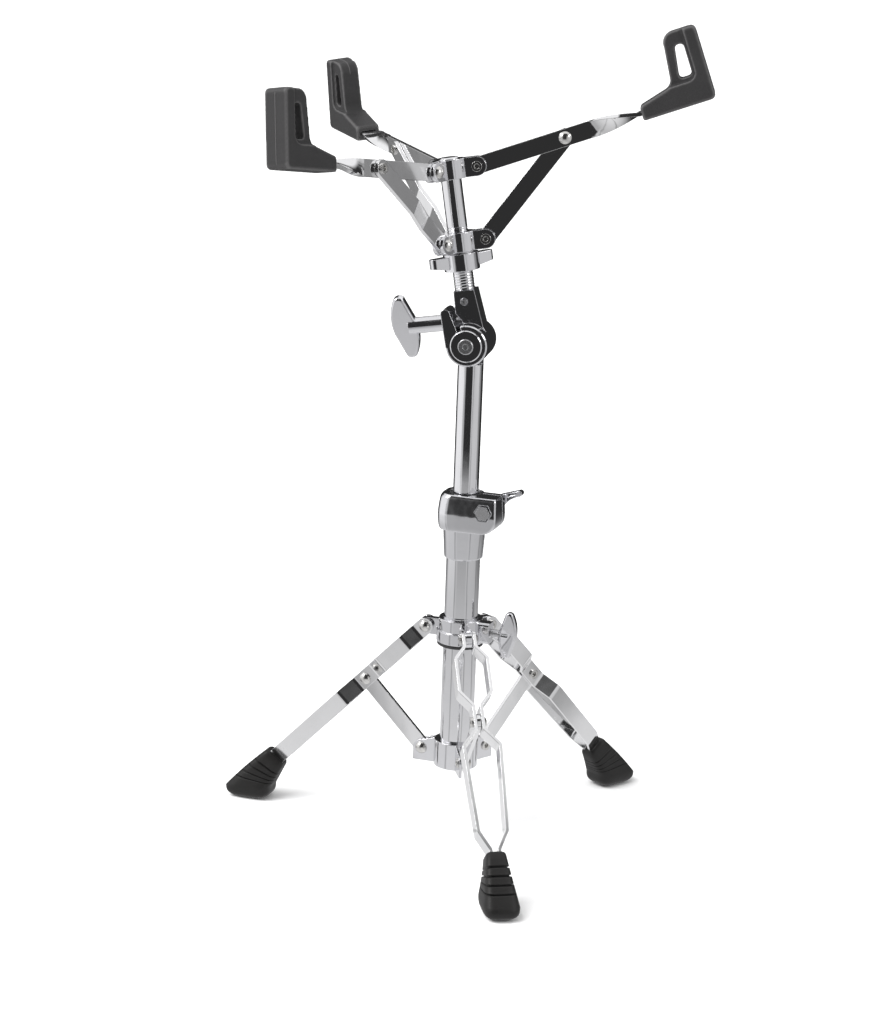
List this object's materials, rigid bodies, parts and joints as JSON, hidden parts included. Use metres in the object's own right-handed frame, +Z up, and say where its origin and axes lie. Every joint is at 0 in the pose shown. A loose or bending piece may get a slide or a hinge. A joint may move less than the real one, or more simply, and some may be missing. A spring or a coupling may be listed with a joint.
{
  "type": "snare drum stand",
  "caption": "Folding tripod stand with a clamped telescoping mast, a tilter and a basket of hinged arms with rubber claws that grip a drum when the basket nut is turned.",
  "frame": {"origin": "on the base tube's axis at floor level", "axes": "+Z up along the tube, -Y along the front leg, +X to the right of the picture"},
  "size_m": [0.3368, 0.387, 0.6128],
  "materials": {
    "chrome_plate": "mirror plated",
    "satin_steel": "satin",
    "claw_rubber": "matte moulded",
    "foot_rubber": "satin moulded",
    "dark_plastic": "matte"
  },
  "bodies": {
    "base": {"base_tube": "chrome_plate", "lower_collar": "chrome_plate", "lower_collar_rivets": "satin_steel", "clamp_body": "chrome_plate", "clamp_bolt": "chrome_plate"},
    "bush": {"tube_bush": "dark_plastic"},
    "clamp_handle": {"clamp_lever": "chrome_plate"},
    "mast": {"mast_tube": "chrome_plate", "tilter_lower": "chrome_plate", "tilter_cap": "chrome_plate", "tilter_screw": "chrome_plate"},
    "head": {"tilter_upper": "chrome_plate", "set_screw": "chrome_plate", "basket_shaft": "chrome_plate", "upper_hub": "chrome_plate", "upper_hub_rivets": "satin_steel"},
    "tilter_handle": {"tilter_wing": "chrome_plate", "tilter_stud": "chrome_plate"},
    "slide_hub": {"lower_hub": "chrome_plate", "thrust_washer": "chrome_plate", "lower_hub_rivets": "satin_steel"},
    "nut": {"basket_nut": "chrome_plate"},
    "collar": {"upper_collar": "chrome_plate", "collar_liner": "dark_plastic", "upper_collar_rivets": "satin_steel"},
    "collar_handle": {"collar_wing": "chrome_plate", "collar_screw": "chrome_plate"},
    "stay_front": {"stay_front": "chrome_plate"},
    "leg_front": {"leg_strap_front_ccw": "chrome_plate", "leg_strap_front_cw": "chrome_plate", "foot_front": "foot_rubber", "leg_rivet_front": "satin_steel"},
    "stay_right": {"stay_right": "chrome_plate"},
    "leg_right": {"leg_strap_right_ccw": "chrome_plate", "leg_strap_right_cw": "chrome_plate", "foot_right": "foot_rubber", "leg_rivet_right": "satin_steel"},
    "stay_left": {"stay_left": "chrome_plate"},
    "leg_left": {"leg_strap_left_ccw": "chrome_plate", "leg_strap_left_cw": "chrome_plate", "foot_left": "foot_rubber", "leg_rivet_left": "satin_steel"},
    "arm_right": {"arm_bar_right": "chrome_plate", "claw_right": "claw_rubber", "arm_rivet_right": "satin_steel"},
    "strut_right": {"strut_right": "chrome_plate", "strut_rivet_right": "satin_steel"},
    "arm_back": {"arm_bar_back": "chrome_plate", "claw_back": "claw_rubber", "arm_rivet_back": "satin_steel"},
    "strut_back": {"strut_back": "chrome_plate", "strut_rivet_back": "satin_steel"},
    "arm_left": {"arm_bar_left": "chrome_plate", "claw_left": "claw_rubber", "arm_rivet_left": "satin_steel"},
    "strut_left": {"strut_left": "chrome_plate", "strut_rivet_left": "satin_steel"}
  },
  "joints": [
    {"name": "mast_swivel", "type": "hinge", "parent": "base", "child": "bush", "pos_m": [0, 0, 0.26003], "axis": [0, 0, 1], "continuous": true},
    {"name": "mast_slide", "type": "slide", "parent": "bush", "child": "mast", "axis": [0, 0, 1], "range_m": [-0.08, 0.055]},
    {"name": "tilt", "type": "hinge", "parent": "mast", "child": "head", "pos_m": [0, 0, 0.37833], "axis": [0.3931, 0.9195, 0], "range_deg": [-35.53, 54.47]},
    {"name": "tilter_wing_turn", "type": "hinge", "parent": "head", "child": "tilter_handle", "pos_m": [-0.02024, 0.00322, 0.39174], "axis": [-0.9069, 0.3878, -0.1645], "range_deg": [0, 360]},
    {"name": "clamp_lever_turn", "type": "hinge", "parent": "base", "child": "clamp_handle", "pos_m": [0.02095, -0.00171, 0.25443], "axis": [0.5, 0.866, 0], "range_deg": [0, 90]},
    {"name": "hub_slide", "type": "slide", "parent": "head", "child": "slide_hub", "axis": [-0.1513, 0.0647, 0.9864], "range_m": [-0.004, 0.0175]},
    {"name": "nut_turn", "type": "hinge", "parent": "slide_hub", "child": "nut", "pos_m": [-0.00909, 0.00389, 0.43762], "axis": [-0.1513, 0.0647, 0.9864], "range_deg": [-721, 3151]},
    {"name": "stay_fold_front", "type": "hinge", "parent": "base", "child": "stay_front", "pos_m": [0, -0.0268, 0.06163], "axis": [-1, 0, 0], "range_deg": [0, 39]},
    {"name": "leg_fold_front", "type": "hinge", "parent": "stay_front", "child": "leg_front", "pos_m": [0, -0.07378, 0.11021], "axis": [-1, 0, 0], "range_deg": [-78, 0]},
    {"name": "stay_fold_right", "type": "hinge", "parent": "base", "child": "stay_right", "pos_m": [0.02321, 0.0134, 0.06163], "axis": [0.5, -0.866, 0], "range_deg": [0, 39]},
    {"name": "leg_fold_right", "type": "hinge", "parent": "stay_right", "child": "leg_right", "pos_m": [0.06389, 0.03689, 0.11021], "axis": [0.5, -0.866, 0], "range_deg": [-78, 0]},
    {"name": "stay_fold_left", "type": "hinge", "parent": "base", "child": "stay_left", "pos_m": [-0.02321, 0.0134, 0.06163], "axis": [0.5, 0.866, 0], "range_deg": [0, 39]},
    {"name": "leg_fold_left", "type": "hinge", "parent": "stay_left", "child": "leg_left", "pos_m": [-0.06389, 0.03689, 0.11021], "axis": [0.5, 0.866, 0], "range_deg": [-78, 0]},
    {"name": "collar_rise", "type": "hinge", "parent": "leg_front", "child": "collar", "pos_m": [0, -0.0268, 0.15879], "axis": [-1, 0, 0], "range_deg": [0, 39]},
    {"name": "collar_wing_turn", "type": "hinge", "parent": "collar", "child": "collar_handle", "pos_m": [0.02078, -0.012, 0.15879], "axis": [0.866, -0.5, 0], "range_deg": [0, 360]},
    {"name": "arm_fold_right", "type": "hinge", "parent": "head", "child": "arm_right", "pos_m": [-0.00028, 0.00287, 0.5066], "axis": [-0.2749, -0.9613, 0.0209], "range_deg": [-5.8, 25.3]},
    {"name": "strut_fold_right", "type": "hinge", "parent": "slide_hub", "child": "strut_right", "pos_m": [0.00768, -0.00054, 0.45468], "axis": [-0.2749, -0.9613, 0.0209], "range_deg": [-2.2, 9.4]},
    {"name": "arm_fold_back", "type": "hinge", "parent": "head", "child": "arm_back", "pos_m": [-0.02389, 0.02743, 0.50137], "axis": [0.9597, 0.2486, 0.1309], "range_deg": [-5.8, 25.3]},
    {"name": "strut_fold_back", "type": "hinge", "parent": "slide_hub", "child": "strut_back", "pos_m": [-0.01592, 0.02403, 0.44945], "axis": [0.9597, 0.2486, 0.1309], "range_deg": [-2.2, 9.4]},
    {"name": "arm_fold_left", "type": "hinge", "parent": "head", "child": "arm_left", "pos_m": [-0.03336, -0.0057, 0.50209], "axis": [-0.6849, 0.7127, -0.1518], "range_deg": [-5.8, 25.3]},
    {"name": "strut_fold_left", "type": "hinge", "parent": "slide_hub", "child": "strut_left", "pos_m": [-0.0254, -0.00911, 0.45017], "axis": [-0.6849, 0.7127, -0.1518], "range_deg": [-2.2, 9.4]}
  ],
  "couplings": [
    {"joint": "nut_turn", "follows": "hub_slide", "rad_per_m": 3141.6},
    {"joint": "leg_fold_front", "follows": "stay_fold_front", "ratio": -2},
    {"joint": "stay_fold_right", "follows": "stay_fold_front", "ratio": 1},
    {"joint": "leg_fold_right", "follows": "stay_fold_front", "ratio": -2},
    {"joint": "stay_fold_left", "follows": "stay_fold_front", "ratio": 1},
    {"joint": "leg_fold_left", "follows": "stay_fold_front", "ratio": -2},
    {"joint": "collar_rise", "follows": "stay_fold_front", "ratio": 1},
    {"joint": "arm_fold_right", "follows": "hub_slide", "rad_per_m": 25.133},
    {"joint": "strut_fold_right", "follows": "hub_slide", "rad_per_m": 9.2502},
    {"joint": "arm_fold_back", "follows": "hub_slide", "rad_per_m": 25.133},
    {"joint": "strut_fold_back", "follows": "hub_slide", "rad_per_m": 9.2502},
    {"joint": "arm_fold_left", "follows": "hub_slide", "rad_per_m": 25.133},
    {"joint": "strut_fold_left", "follows": "hub_slide", "rad_per_m": 9.2502}
  ]
}
